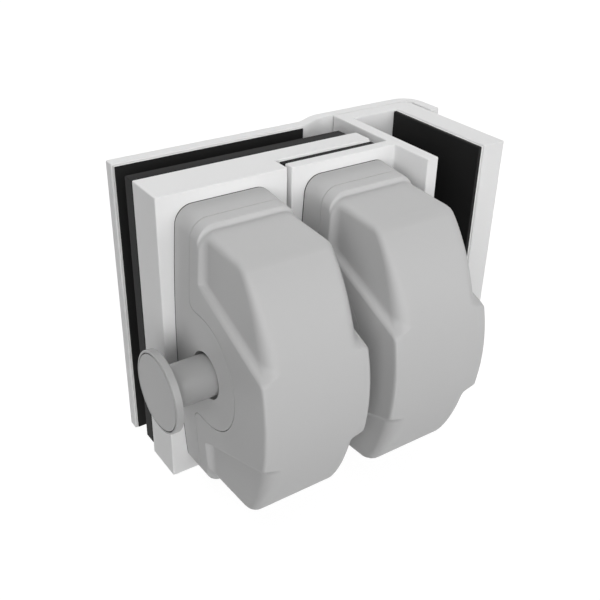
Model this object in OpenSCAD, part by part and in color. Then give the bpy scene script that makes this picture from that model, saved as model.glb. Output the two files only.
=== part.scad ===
/* [Glass] */
// Thickness of the door glass between the clamp faces
door_glass = 8; // [6:0.5:12]
// Thickness of the return glass in the channel
return_glass = 12; // [8:0.5:12]

/* [Height] */
// Height of the clamp block, the plates and the bracket
unit_h = 100; // [96:1:130]
// Bevel on the vertical edges of the metal parts
edge_bevel = 0.4; // [0.2:0.1:0.8]

/* [Door clamp block] */
// Width of the clamp block
block_w = 43.8; // [42:0.2:50]
// Depth of the clamp block
block_t = 14.8; // [13:0.2:20]
// Length of the stop tongue beside the block
tongue_l = 37; // [30:0.5:38]
// Thickness of the stop tongue
tongue_t = 7.5; // [6:0.1:8]

/* [Door gaskets] */
// Thickness of the inner door gasket
gasket_t = 5; // [3:0.1:6]
// How far the inner gasket stops short of the tongue's end
gasket_end = 3.4; // [1:0.1:6]
// How far the inner gasket stops short of the block's foot
gasket_foot = 3.8; // [0:0.1:6]
// Thickness of the outer rubber pads
pad_t = 1.3; // [0.8:0.1:2.5]
// Thickness of the adhesive tape under a pad
tape_t = 0.5; // [0.3:0.1:1]
// Inset of tape and pads from the edges they lie on
pad_inset = 0.5; // [0.2:0.1:2]
// Length of the outer door pad
outer_pad_l = 68; // [50:0.5:69]

/* [Outer plate] */
// Thickness of the outer plate
plate_t = 4; // [3:0.1:5]
// Length of the plate before its offset bend
plate_flat_l = 70; // [69:0.5:71]
// Length of the offset bend
joggle_l = 10.5; // [8:0.5:12]
// Outside radius of the plate's corner
plate_corner_r = 8; // [7:0.5:12]
// Length of the return flange, from the plate's outer face
flange_l = 16.8; // [14:0.2:30]
// Gap between plate and bracket at the back
back_gap = 0.4; // [0.2:0.1:1]
// Gap between flange and bracket at the side
side_gap = 1; // [0.5:0.1:2]

/* [Return bracket] */
// Gap between the block and the bracket's front plate
front_gap = 1.1; // [0.8:0.1:3]
// Width of the bracket's front plate
front_w = 39.7; // [39:0.1:45]
// Thickness of the bracket's front plate
front_t = 4; // [3:0.1:6]
// How far the front plate stands proud of the block
front_proud = 0.7; // [0:0.1:2]
// Thickness of the web beside the return glass
web_t = 4.4; // [3.5:0.1:7]
// Thickness of the bracket's back wall
back_t = 6; // [4:0.1:9]
// Distance from the door glass to the back wall's rear face
back_reach = 12.9; // [12.9:0.1:16]
// Thickness of the bracket's outer wall
wall_t = 9.1; // [6:0.1:14]
// How far web and wall reach in front of the front plate
channel_reach = 16.2; // [8:0.2:30]

/* [Return glass clamp] */
// Thickness of the loose clamp plate
clamp_plate_t = 2.5; // [2:0.1:3]
// Thickness of the rubber on the clamp plate
clamp_rubber_t = 3; // [2:0.1:4]
// Room between web and clamp plate for adjustment
clamp_room = 0.4; // [0.2:0.1:1]
// Height of the clamp plate
clamp_h = 90; // [60:1:92]
// Depth of the clamp plate
clamp_d = 35; // [20:0.5:36]
// Diameter of the set screws
set_d = 6; // [4:0.5:8]
// Spacing of the three set screws
set_pitch = 30; // [15:1:35]
// Length of the set screws
set_l = 6.5; // [5:0.1:9]

/* [Clamp bolts] */
// Diameter of the bolts through the door glass
bolt_d = 8; // [6:0.5:10]
// Spacing of the two bolts
bolt_pitch = 60; // [40:1:66]
// Diameter of the bolt heads
head_d = 13; // [11:0.5:16]
// Height of the bolt heads
head_h = 8; // [5:0.5:9]
// Outside diameter of the sleeves in the glass holes
sleeve_d = 16; // [14:0.5:20]
// Outside diameter of the threaded inserts in the plate
insert_d = 12; // [11:0.5:13]
// Plate skin left outside an insert
insert_skin = 1.6; // [1:0.1:2]

/* [Housings] */
// Depth of a housing in front of its base plane
house_depth = 50.8; // [48:0.1:56]
// Half width of a housing at its base plane
house_w = 18; // [17:0.1:19]
// Half height of a housing at its base plane
house_h = 46.2; // [44:0.1:48]
// Corner radius of the base outline
house_r = 5.3; // [4:0.1:8]
// How far the sides bow out from end to middle
house_bow = 2; // [0.5:0.1:3]
// How far the band's sides draw in from the base plane
house_draft = 0.3; // [0.1:0.1:1]
// Depth of the base shell up to the joint line
joint_o = 9; // [6:0.1:11]
// Depth of the full-width band
band_o = 14.2; // [12.5:0.1:20]
// How far the band's ends draw in
band_draft = 1.2; // [0.4:0.1:2]
// Wall thickness of the housing shells
shell_t = 2.5; // [2:0.1:3]
// Gap between base shell and cover at the joint line
joint_gap = 0.15; // [0.05:0.05:0.4]
// Distance between the two housings' middle planes
house_pitch = 44; // [43.5:0.1:45]

/* [Housing front] */
// Step from the band's sides to the inset body's sides
inset_step = 2.3; // [1.5:0.1:3]
// Half height of the inset body where it leaves the band
inset_h = 43.6; // [42:0.1:44]
// Slope of the inset body's ends in degrees
end_slope = 6.7; // [3:0.1:10]
// How far the inset body's sides bow out
inset_bow = 1; // [0.5:0.1:2.5]
// Radius of the long front curve
front_r = 65.7; // [60:0.1:80]
// How far the middle of the front curve lies below the bolt
front_drop = 1.9; // [0:0.1:3]
// Radius of the crease between an end and the front curve
crease_r = 3.4; // [1.5:0.1:5]
// Rounding of the inset body's side edges
inset_edge = 3.8; // [2:0.1:5]
// Half height of the flare where it leaves the band
flare_h = 30.8; // [28:0.1:34]
// Slope of the flare's ends in degrees
flare_slope = 23.6; // [18:0.1:28]
// Rounding of the flare's side edges
flare_edge = 2; // [1:0.1:3]
// Radius of the rounded lobe around the bolt opening
lobe_r = 18.4; // [16:0.1:19]
// Depth of the lobe's centre
lobe_o = 16.1; // [14:0.1:18]

/* [Housing screws] */
// Diameter of the screws that hold a housing
screw_d = 4; // [3:0.5:5]
// Length of the screws through the clamp block
latch_screw_l = 28; // [26:1:32]
// Length of the screws through the bracket's front plate
strike_screw_l = 18; // [14:1:24]
// Sideways distance of a screw from the middle
screw_x = 9; // [7:0.5:9]
// Height of a screw from the middle
screw_z = 36; // [26:0.5:36]
// Diameter of the screw posts in a cover
post_d = 8; // [7:0.5:9]

/* [Latch bolt] */
// Depth of the bolt's axis in front of the clamp block
axis_o = 18.1; // [17:0.1:20]
// Diameter of the bolt
latch_d = 10; // [8:0.5:11]
// Travel of the knob and bolt
travel = 13.5; // [11:0.5:13.5]
// How far the bolt reaches into the strike housing
engage = 9.6; // [7:0.2:9.6]
// Diameter of the collar behind the bolt
collar_d = 18; // [17:0.5:20]
// Thickness of the collar
collar_t = 2.7; // [2:0.1:4]
// Diameter of the openings in the housing walls
opening_d = 15; // [14:0.5:17]
// Distance of the flat bosses from the housing's middle
boss_x = 14; // [13:0.1:14.5]
// Diameter of the flat bosses
boss_d = 24; // [22:0.5:28]
// Thickness of the flanges on bush, washer and cup
collar_flange = 1.2; // [1:0.1:1.5]
// Radial running clearance of the bolt and the stem
run_gap = 0.05; // [0.02:0.01:0.1]
// Inside diameter of the strike cup
cup_d = 11; // [11:0.1:11.5]
// Depth of the strike cup beyond the bolt's tip
cup_room = 1; // [0.5:0.1:2]

/* [Spring] */
// Wire diameter of the spring
wire_d = 1.1; // [0.8:0.1:1.2]
// Turns of the spring
spring_turns = 6; // [5:1:7]
// Room between the stem and the spring
spring_room = 0.5; // [0.3:0.1:1]

/* [Pull knob] */
// Diameter of the knob's disc
knob_d = 25; // [22:0.5:30]
// Thickness of the knob's rim
knob_rim = 2.4; // [1.8:0.1:4]
// Diameter of the knob's stem
stem_d = 13; // [11.5:0.5:13]
// Distance from the housing's middle to the knob's face
knob_reach = 33.5; // [32:0.5:40]
// Radius of the fillet from stem to disc
knob_fillet = 3.5; // [2:0.1:5]
// Width of the rim around the knob's face plate
face_rim = 0.7; // [0.5:0.1:2]
// Thickness of the knob's face plate
face_t = 1; // [0.6:0.1:1.5]

/* [Stop strip] */
// Thickness of the white tape on the tongue
stop_tape_t = 1.8; // [0.5:0.1:2]
// Gap left between stop rubber and front plate
stop_gap = 0.3; // [0.1:0.1:0.6]

/* [Hidden] */
$fn = 64;

white_metal = [0.88, 0.88, 0.88];
grey_shell = [0.66, 0.66, 0.66];
steel = [0.75, 0.76, 0.78];
black_rubber = [0.08, 0.08, 0.08];
fit = 0.05;  // radial clearance of parts that are pressed or screwed together
sleeve_room = 0.2;  // radial gap round a sleeve in gasket and pad
past = 1;  // how far a cutting shape runs past the wall it cuts

// Planes across the depth, with the door glass between y = 0 and y = door_glass
block_y = -gasket_t;
block_front = block_y - block_t;
tongue_front = block_y - tongue_t;
pad_y = door_glass;
tape_y = pad_y + pad_t;
plate_y = tape_y + tape_t;
plate_y2 = back_reach + back_gap;
front_y0 = block_front - front_proud;
front_y1 = front_y0 + front_t;
channel_y = front_y0 - channel_reach;
back_y = back_reach - back_t;

// Planes across the width, with the middle of the clamp block at x = 0
block_x = block_w / 2;
front_x = block_x + front_gap;
web_x = front_x + front_w;
channel_x = web_x + web_t;
seat_x = channel_x + clamp_room + clamp_plate_t + clamp_rubber_t + return_glass;
wall_x = seat_x + pad_t + tape_t;
wall_x1 = wall_x + wall_t;
flange_x = wall_x1 + side_gap;
strike_x = house_pitch;
bolt_y = block_front - axis_o;
strike_o = front_y0 - bolt_y;

// Curves of the housing
front_c = house_depth - front_r;
side_k = house_bow / pow(house_h, 2);
inset_k = inset_bow / pow(inset_h, 2);
inset_w = house_w - house_draft - inset_step;
flare_w = house_w - house_draft - 0.1;
arc_n = 5;
side_n = 6;
front_n = 12;
crease_n = 2;
edge_n = 3;

// Latch bolt stations along x
shell_side = house_w - house_draft;
tip_x = strike_x - shell_side + engage;
collar_x1 = boss_x - collar_flange - 0.1;
collar_x0 = collar_x1 - collar_t;
seat_x1 = -boss_x + collar_flange;
spigot_l = 10;
spigot_d = 6;
disc_x = -knob_reach;

function unit2(v) = v / norm(v);

// Each corner of an outline is cut back by c along both of its edges
function bevelled(pts, c) = [for (i = [0:len(pts) - 1])
    let(p = pts[i], a = pts[(i + len(pts) - 1) % len(pts)], b = pts[(i + 1) % len(pts)])
    each [p + c * unit2(a - p), p + c * unit2(b - p)]];

function arc_pts(centre, r, a0, a1, n) =
    [for (i = [0:n]) let(a = a0 + (a1 - a0) * i / n) centre + r * [cos(a), sin(a)]];

// Bowed rectangle with round corners, from half width w, half height h, radius r, bow factor k
function bowed(w, h, r, k) =
    let(e = h - r, we = w - k * e * e, n = side_n)
    concat(
        [for (i = [0:n]) let(z = e * (2 * i / n - 1)) [w - k * z * z, z]],
        [for (i = [1:arc_n]) let(a = 90 * i / arc_n) [we - r + r * cos(a), e + r * sin(a)]],
        [for (i = [0:arc_n - 1]) let(a = 90 + 90 * i / arc_n) [r - we + r * cos(a), e + r * sin(a)]],
        [for (i = [0:n]) let(z = e * (1 - 2 * i / n)) [k * z * z - w, z]],
        [for (i = [1:arc_n]) let(a = 180 + 90 * i / arc_n) [r - we + r * cos(a), r * sin(a) - e]],
        [for (i = [0:arc_n - 1]) let(a = 270 + 90 * i / arc_n) [we - r + r * cos(a), r * sin(a) - e]]);

// A skin over outlines that follow each other towards the front; each is [depth, outline]
module loft(rings) {
    n = len(rings[0][1]);
    last = len(rings) - 1;
    polyhedron(
        points = [for (ring = rings, p = ring[1]) [p[0], -ring[0], p[1]]],
        faces = concat(
            [[for (i = [0:n - 1]) i]],
            [[for (i = [n - 1:-1:0]) last * n + i]],
            [for (j = [0:last - 1], i = [0:n - 1])
                let(k = (i + 1) % n, a = j * n + i, b = j * n + k, c = b + n, d = a + n)
                each [[a, d, c], [a, c, b]]]));
}

module along_x(x0, x1, r, y, z = 0) {
    translate([x0, y, z]) rotate([0, 90, 0]) cylinder(h = x1 - x0, r = r);
}

module along_y(y0, y1, r, x, z = 0) {
    translate([x, y0, z]) rotate([-90, 0, 0]) cylinder(h = y1 - y0, r = r);
}

module block_at(x, y, z) {
    translate([x[0], y[0], z[0]]) cube([x[1] - x[0], y[1] - y[0], z[1] - z[0]]);
}

module upright(pts) {
    translate([0, 0, -unit_h / 2]) linear_extrude(unit_h) polygon(pts);
}

// Shaft, round head and countersink of one screw, with its head at y and its tip towards -y
module screw(x, y, z, length, head_r, head_t) {
    translate([x, y, z]) rotate([90, 0, 0]) difference() {
        union() {
            cylinder(h = length, r = screw_d / 2);
            cylinder(h = head_t, r1 = head_r, r2 = screw_d / 2);
        }
        translate([0, 0, -past]) cylinder(h = past + 1.2, r = 1.25, $fn = 6);
    }
}

module screw_holes(x, y0, y1) {
    for (sx = [-1, 1], sz = [-1, 1])
        along_y(y0, y1, screw_d / 2 + fit, x + sx * screw_x, sz * screw_z);
}

module sinks(x, y) {
    for (sx = [-1, 1], sz = [-1, 1])
        translate([x + sx * screw_x, y, sz * screw_z]) rotate([90, 0, 0])
            cylinder(h = screw_d / 2 + fit, r1 = screw_d + fit, r2 = screw_d / 2 + fit);
}

/* Door half: clamp block, gaskets, plate and bolts */

module door_clamp_block() {
    color(white_metal) difference() {
        upright(bevelled([[-block_x, block_front], [block_x, block_front],
            [block_x, tongue_front], [block_x + tongue_l, tongue_front],
            [block_x + tongue_l, block_y], [-block_x, block_y]], edge_bevel));
        for (s = [-1, 1]) {
            along_y(block_front - past, block_y + past, bolt_d / 2 + 0.2, 0, s * bolt_pitch / 2);
            along_y(block_front - past, block_front + head_h + 0.5, head_d / 2 + 0.3, 0, s * bolt_pitch / 2);
        }
        screw_holes(0, block_front - past, block_y + past);
        sinks(0, block_y + 0.01);
    }
}

module door_gasket() {
    color(black_rubber) difference() {
        block_at([-block_x, block_x + tongue_l - gasket_end], [block_y, 0],
            [gasket_foot - unit_h / 2, unit_h / 2 - 0.3]);
        for (s = [-1, 1]) along_y(block_y - past, past, sleeve_d / 2 + sleeve_room, 0, s * bolt_pitch / 2);
    }
}

module glass_sleeves() {
    color("ivory") for (s = [-1, 1]) difference() {
        along_y(block_y, tape_y, sleeve_d / 2, 0, s * bolt_pitch / 2);
        along_y(block_y - past, door_glass / 2 - 0.5, bolt_d / 2 + 0.2, 0, s * bolt_pitch / 2);
        along_y(door_glass / 2 - 0.6, tape_y + past, insert_d / 2 + 0.2, 0, s * bolt_pitch / 2);
    }
}

module plate_inserts() {
    color(steel) for (s = [-1, 1]) difference() {
        along_y(door_glass / 2, plate_y + plate_t - insert_skin, insert_d / 2, 0, s * bolt_pitch / 2);
        along_y(0, plate_y + plate_t - insert_skin - 0.6, bolt_d / 2 + fit, 0, s * bolt_pitch / 2);
    }
}

module clamp_bolts() {
    tip = plate_y + plate_t - insert_skin - 1;
    head_y = block_front + 0.5;
    color(steel) for (s = [-1, 1]) difference() {
        union() {
            along_y(head_y, head_y + head_h, head_d / 2, 0, s * bolt_pitch / 2);
            along_y(head_y + head_h - past, tip, bolt_d / 2, 0, s * bolt_pitch / 2);
        }
        translate([0, head_y - past, s * bolt_pitch / 2]) rotate([-90, 0, 0])
            cylinder(h = past + head_h / 2, r = bolt_d * 0.43, $fn = 6);
    }
}

// Plan outline of the outer plate: flat, offset bend, flat, round corner and return flange
function plate_outline() =
    let(x0 = -block_x, xj = x0 + plate_flat_l, xf = flange_x + plate_t, r = plate_corner_r,
        rise = plate_y2 - plate_y, yb = plate_y2 + plate_t,
        bend = [for (i = [0:10]) [joggle_l * i / 10, rise * (1 - cos(18 * i)) / 2]])
    concat(
        [[x0 + edge_bevel, plate_y], [x0, plate_y + edge_bevel],
            [x0, plate_y + plate_t - edge_bevel], [x0 + edge_bevel, plate_y + plate_t]],
        [for (p = bend) [xj + p[0], plate_y + plate_t + p[1]]],
        arc_pts([xf - r, yb - r], r, 90, 0, 8),
        [[xf, yb - flange_l + edge_bevel], [xf - edge_bevel, yb - flange_l],
            [flange_x + edge_bevel, yb - flange_l], [flange_x, yb - flange_l + edge_bevel]],
        arc_pts([xf - r, yb - r], r - plate_t, 0, 90, 8),
        [for (i = [10:-1:0]) [xj + bend[i][0] + 0.6, plate_y + bend[i][1]]]);

module outer_plate() {
    color(white_metal) difference() {
        upright(plate_outline());
        for (s = [-1, 1])
            along_y(plate_y - past, plate_y + plate_t - insert_skin + fit, insert_d / 2 + fit, 0, s * bolt_pitch / 2);
    }
}

module outer_layer(y0, y1) {
    difference() {
        block_at([pad_inset - block_x, pad_inset - block_x + outer_pad_l], [y0, y1],
            [pad_inset + 1 - unit_h / 2, unit_h / 2 - pad_inset]);
        for (s = [-1, 1]) along_y(y0 - past, y1 + past, sleeve_d / 2 + sleeve_room, 0, s * bolt_pitch / 2);
    }
}

module outer_tape() {
    color("white") outer_layer(tape_y, plate_y);
}

module outer_gasket() {
    color(black_rubber) outer_layer(pad_y, tape_y);
}

module stop_layer(y0, y1) {
    block_at([front_x, block_x + tongue_l - edge_bevel], [y0, y1],
        [pad_inset - unit_h / 2, unit_h / 2 - pad_inset]);
}

module stop_tape() {
    color("white") stop_layer(tongue_front - stop_tape_t, tongue_front);
}

module stop_rubber() {
    color(black_rubber) stop_layer(front_y1 + stop_gap, tongue_front - stop_tape_t);
}

/* Housings: a base shell and a cover around the bolt, one on each half */

// Outline of a slice of the band at depth o, drawn in by t for the inside of the wall
function full_ring(o, t, cut = 0) =
    let(k = min(o, band_o) / band_o, w = house_w - house_draft * k - t - cut,
        h = house_h - band_draft * k - t - cut)
    [o, bowed(w, h, house_r - t / 2, side_k)];

module band(t) {
    c = t > 0 ? 0.3 : 0.7;
    f = band_o - t;
    loft([full_ring(0, t), full_ring(f - c, t), full_ring(f, t, c)]);
}

// Side view of a front body whose ends leave the band at height h and slope in by k; t draws it in.
// The circle of each crease touches the end's line and the long front curve.
function crease(h, k, t, sink, e, s) =
    let(q = 1 + k * k, m = h - (t + e) * sqrt(q) - k * (front_c - band_o) + s * front_drop,
        r = front_r - sink - t - e, o = (k * m + sqrt(q * r * r - m * m)) / q)
    [front_c + o, m - k * o - s * front_drop, atan2(m - k * o, o)];

function side_view(h, k, t, sink) =
    let(e = max(crease_r - t, 0.4), lo = crease(h, k, t, sink, e, -1), hi = crease(h, k, t, sink, e, 1),
        back = 2 * band_o / 3, zb = h - t * sqrt(1 + k * k) - k * (back - band_o), b = 90 - atan(k),
        r = front_r - sink - t)
    concat([[back, -zb]],
        [for (i = [0:crease_n]) let(a = b + (lo[2] - b) * i / crease_n) [lo[0] + e * cos(a), -lo[1] - e * sin(a)]],
        [for (i = [1:front_n - 1]) let(a = -lo[2] + (hi[2] + lo[2]) * i / front_n)
            [front_c + r * cos(a), r * sin(a) - front_drop]],
        [for (i = [0:crease_n]) let(a = hi[2] + (b - hi[2]) * i / crease_n) [hi[0] + e * cos(a), hi[1] + e * sin(a)]],
        [[back, zb]]);

// Side views set side by side along x, drawn in towards both sides so that every edge is round
module front_body(h, k, w, r, t, sink = 0) {
    rr = max(r - t / 2, 0.5);
    half = [for (i = [0:edge_n]) let(a = 90 * i / edge_n)
        [w - t - rr + rr * sin(a), side_view(h, k, t + rr * (1 - cos(a)), sink)]];
    slices = concat([for (i = [edge_n:-1:0]) [-half[i][0], half[i][1]]], half);
    n = len(half[0][1]);
    last = len(slices) - 1;
    polyhedron(
        points = [for (s = slices, p = s[1]) [s[0], -p[0], p[1]]],
        faces = concat(
            [[for (i = [n - 1:-1:0]) i]],
            [[for (i = [0:n - 1]) last * n + i]],
            [for (j = [0:last - 1], i = [0:n - 1])
                let(m = (i + 1) % n, a = j * n + i, b = j * n + m, c = b + n, d = a + n)
                each [[a, c, d], [a, b, c]]]));
}

// Upright walls whose sides bow out towards the middle
module bowed_walls(w, k) {
    ring = bowed(w, house_h, 1, k);
    loft([[band_o / 2, ring], [house_depth + past, ring]]);
}

module inset_body(t) {
    intersection() {
        bowed_walls(inset_w - t, inset_k);
        front_body(inset_h, tan(end_slope), inset_w + 0.3, inset_edge, t);
    }
}

// The flare brings the sides back to full width around the bolt
module flare_body(t) {
    intersection() {
        bowed_walls(flare_w - t, side_k);
        front_body(flare_h, tan(flare_slope), flare_w + 0.3, flare_edge, t, 0.1);
    }
}

module house_solid(t) {
    band(t);
    inset_body(t);
    flare_body(t);
}

// What belongs to the base: all behind the joint line, and a round lobe on each side
module base_zone(g) {
    translate([-2 * house_w, g - joint_o, -house_h - past])
        cube([4 * house_w, joint_o + past - g, 2 * (house_h + past)]);
    for (s = [-1, 1]) {
        side_x(s, house_w / 2, lobe_r - g, lobe_o);
        translate([s > 0 ? house_w / 2 : -2 * house_w, -lobe_o, g - lobe_r])
            cube([1.5 * house_w, lobe_o, 2 * (lobe_r - g)]);
    }
}

// Round bar through one side wall, from x0 outwards, at depth o
module side_x(s, x0, r, o) {
    x1 = house_w + 4;
    along_x(min(s * x0, s * x1), max(s * x0, s * x1), r, -o);
}

module posts(o0, o1) {
    for (sx = [-1, 1], sz = [-1, 1]) along_y(-o1, -o0, post_d / 2, sx * screw_x, sz * screw_z);
}

// Inside of a housing; floor, bosses and posts are left standing in it
module cavity() {
    difference() {
        house_solid(shell_t);
        translate([-house_w, -shell_t, -house_h]) cube([2 * house_w, 2 * shell_t, 2 * house_h]);
        children();
    }
}

module house_base(openings, o) {
    difference() {
        intersection() {
            house_solid(0);
            base_zone(joint_gap);
        }
        cavity() for (s = openings) side_x(s, boss_x, boss_d / 2, o);
        for (s = openings) side_x(s, house_w / 2, opening_d / 2, o);
        screw_holes(0, -shell_t - past, past);
    }
}

module house_cover() {
    difference() {
        union() {
            difference() {
                house_solid(0);
                base_zone(0);
                cavity() posts(0, house_depth);
            }
            posts(shell_t + 0.1, joint_o + past);
        }
        screw_holes(0, -2 * joint_o - shell_t, 0);
    }
}

module latch_base() {
    color(grey_shell) translate([0, block_front, 0]) house_base([-1, 1], axis_o);
}

module latch_cover() {
    color(grey_shell) translate([0, block_front, 0]) house_cover();
}

module strike_base() {
    color(grey_shell) translate([strike_x, front_y0, 0]) house_base([-1], strike_o);
}

module strike_cover() {
    color(grey_shell) translate([strike_x, front_y0, 0]) house_cover();
}

module latch_screws() {
    color(steel) for (sx = [-1, 1], sz = [-1, 1])
        screw(sx * screw_x, block_y, sz * screw_z, latch_screw_l, screw_d, screw_d / 2);
}

module strike_screws() {
    color(steel) for (sx = [-1, 1], sz = [-1, 1])
        screw(strike_x + sx * screw_x, front_y1, sz * screw_z, strike_screw_l, screw_d, screw_d / 2);
}

/* Bolt, knob and spring, all on one axis along x */

module turned(pts) {
    translate([0, bolt_y, 0]) rotate([0, 90, 0]) rotate_extrude() polygon(pts);
}

module pull_knob() {
    r = knob_d / 2;
    s = stem_d / 2;
    f = knob_fillet;
    x1 = disc_x + knob_rim;
    color(grey_shell) difference() {
        turned(concat([[0, disc_x], [r - 0.3, disc_x], [r, disc_x + 0.3], [r, x1 - 0.4], [r - 0.4, x1]],
            arc_pts([s + f, x1 + f], f, 270, 180, 6), [[s, collar_x0], [0, collar_x0]]));
        along_x(disc_x - past, disc_x + face_t, r - face_rim, bolt_y);
        along_x(collar_x0 - spigot_l - 0.5, collar_x0 + past, spigot_d / 2 + fit, bolt_y);
    }
}

module knob_face() {
    r = knob_d / 2 - face_rim - 0.15;
    color(grey_shell) turned([[0, disc_x], [r - 0.2, disc_x], [r, disc_x + 0.2],
        [r, disc_x + face_t], [0, disc_x + face_t]]);
}

module latch_bolt() {
    r = latch_d / 2;
    color(steel) turned([[0, collar_x0 - spigot_l], [spigot_d / 2, collar_x0 - spigot_l],
        [spigot_d / 2, collar_x0], [collar_d / 2, collar_x0], [collar_d / 2, collar_x1],
        [r, collar_x1], [r, tip_x - 1.5], [r - 1.5, tip_x], [0, tip_x]]);
}

module spring_seat() {
    color(steel) turned([[stem_d / 2 + run_gap, -boss_x], [boss_d / 2 - 1, -boss_x],
        [boss_d / 2 - 1, seat_x1], [stem_d / 2 + run_gap, seat_x1]]);
}

module guide_bush() {
    r = latch_d / 2 + run_gap;
    out_r = opening_d / 2 - fit;
    color("ivory") turned([[r, boss_x - collar_flange], [boss_d / 2 - 1, boss_x - collar_flange],
        [boss_d / 2 - 1, boss_x], [out_r, boss_x], [out_r, shell_side - 0.2], [r, shell_side - 0.2]]);
}

module strike_cup() {
    x0 = strike_x - shell_side + 0.2;
    xb = strike_x - boss_x;
    end = tip_x + cup_room;
    out_r = opening_d / 2 - fit;
    color(steel) turned([[cup_d / 2, x0], [out_r, x0], [out_r, xb], [boss_d / 2 - 2, xb],
        [boss_d / 2 - 2, xb + collar_flange], [out_r, xb + collar_flange], [out_r, end + 1.5],
        [0, end + 1.5], [0, end], [cup_d / 2, end]]);
}

// Wire swept along a helix whose first and last half turns lie flat
module bolt_spring() {
    seg = 18;
    sides = 6;
    wire_r = wire_d / 2;
    r = stem_d / 2 + spring_room + wire_r;
    x0 = seat_x1 + wire_r + 0.02;
    run = collar_x0 - wire_r - 0.02 - x0;
    count = spring_turns * seg;
    pts = [for (i = [0:count]) let(
            t = i / count, a = 360 * spring_turns * t,
            m = min(1, max(0, (t * spring_turns - 0.5) / (spring_turns - 1))),
            x = x0 + wire_d * min(0.5, t * spring_turns) + wire_d * max(0, (t - 1) * spring_turns + 0.5)
                + (run - wire_d) * m)
        for (k = [0:sides - 1]) let(b = 360 * k / sides, q = r + wire_r * cos(b))
            [x + wire_r * sin(b), bolt_y + q * cos(a), q * sin(a)]];
    color(steel) polyhedron(points = pts, faces = concat(
        [[for (k = [0:sides - 1]) k]],
        [[for (k = [sides - 1:-1:0]) count * sides + k]],
        [for (i = [0:count - 1], k = [0:sides - 1])
            let(a = i * sides + k, b = i * sides + (k + 1) % sides)
            each [[a, a + sides, b + sides], [a, b + sides, b]]]));
}

/* Fixed half: bracket, gaskets and glass clamp */

module return_bracket() {
    color(white_metal) difference() {
        upright(concat(
            bevelled([[front_x, front_y0], [web_x, front_y0], [web_x, channel_y], [channel_x, channel_y],
                [channel_x, back_y], [wall_x, back_y], [wall_x, channel_y], [wall_x1, channel_y]], edge_bevel),
            arc_pts([wall_x1 - plate_corner_r / 2, back_reach - plate_corner_r / 2], plate_corner_r / 2, 0, 90, 6),
            bevelled([[wall_x1 / 2 + web_x / 2, back_reach], [web_x, back_reach], [web_x, front_y1],
                [front_x, front_y1]], edge_bevel)));
        for (k = [-1, 0, 1])
            along_x(web_x - past, channel_x + past, set_d / 2 + fit, set_y(), k * set_pitch);
        screw_holes(strike_x, front_y0 - past, front_y1 + past);
        sinks(strike_x, front_y1 + 0.01);
    }
}

function set_y() = (front_y1 + back_y) / 2;

module return_layer(x0, x1) {
    block_at([x0, x1], [channel_y + pad_inset, back_y - pad_inset],
        [pad_inset - unit_h / 2, unit_h / 2 - pad_inset]);
}

module return_tape() {
    color("white") return_layer(seat_x + pad_t, wall_x);
}

module return_gasket() {
    color(black_rubber) return_layer(seat_x, seat_x + pad_t);
}

module clamp_layer(x0, x1) {
    block_at([x0, x1], [back_y - pad_inset - 1 - clamp_d, back_y - pad_inset - 1], [-clamp_h / 2, clamp_h / 2]);
}

module clamp_plate() {
    color(steel) clamp_layer(channel_x + clamp_room, channel_x + clamp_room + clamp_plate_t);
}

module clamp_rubber() {
    x0 = channel_x + clamp_room + clamp_plate_t;
    color(black_rubber) clamp_layer(x0, x0 + clamp_rubber_t);
}

module set_screws() {
    x1 = channel_x + clamp_room;
    color(steel) for (k = [-1, 0, 1]) difference() {
        along_x(x1 - set_l, x1, set_d / 2, set_y(), k * set_pitch);
        translate([x1 - set_l - past, set_y(), k * set_pitch]) rotate([0, 90, 0])
            cylinder(h = past + set_l / 2, r = set_d * 0.29, $fn = 6);
    }
}

door_clamp_block();
door_gasket();
outer_plate();
outer_tape();
outer_gasket();
stop_tape();
stop_rubber();
clamp_bolts();
glass_sleeves();
plate_inserts();
latch_base();
latch_cover();
latch_screws();
pull_knob();
knob_face();
latch_bolt();
bolt_spring();
spring_seat();
guide_bush();
return_bracket();
return_tape();
return_gasket();
clamp_plate();
clamp_rubber();
set_screws();
strike_base();
strike_cover();
strike_screws();
strike_cup();
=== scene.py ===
import math

import bpy
import numpy as np
from mathutils import Matrix


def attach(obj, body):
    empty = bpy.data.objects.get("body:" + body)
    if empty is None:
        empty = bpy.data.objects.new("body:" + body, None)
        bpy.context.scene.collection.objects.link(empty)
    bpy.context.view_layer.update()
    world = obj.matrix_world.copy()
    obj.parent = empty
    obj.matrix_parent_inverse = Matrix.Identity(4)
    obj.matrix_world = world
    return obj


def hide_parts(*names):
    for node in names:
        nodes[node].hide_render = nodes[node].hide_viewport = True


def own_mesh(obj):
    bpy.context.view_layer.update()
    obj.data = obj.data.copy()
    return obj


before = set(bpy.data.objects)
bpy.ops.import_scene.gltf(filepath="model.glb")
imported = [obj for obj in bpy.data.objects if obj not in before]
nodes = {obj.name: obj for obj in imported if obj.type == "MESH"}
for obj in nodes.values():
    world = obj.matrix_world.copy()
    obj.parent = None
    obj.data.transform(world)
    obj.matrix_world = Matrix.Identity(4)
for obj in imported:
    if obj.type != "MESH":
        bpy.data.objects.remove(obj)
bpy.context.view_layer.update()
doorBody = "clamps_and_housings"
pullBody = "puller"
mm = 0.001
boltLineY = -37.9  # the bolt, knob and cup all turn about this line along x
tiny = 1e-12  # keeps a row without length from being divided by zero
leastTurn = 1e-4  # radians, below which a corner counts as straight
weldReach = 1e-4  # points nearer than this, in mm, become one
cornerSteps = 6  # points on a rounded corner
endSteps = 5  # rows on the rounded end of an upright piece
ringSteps = 96  # points round a turned piece
print("frame loaded")


# small tools for outlines and meshes, all in millimetres

def unitRows(rows):
    return rows / np.maximum(np.linalg.norm(rows, axis=-1, keepdims=True), tiny)


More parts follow.
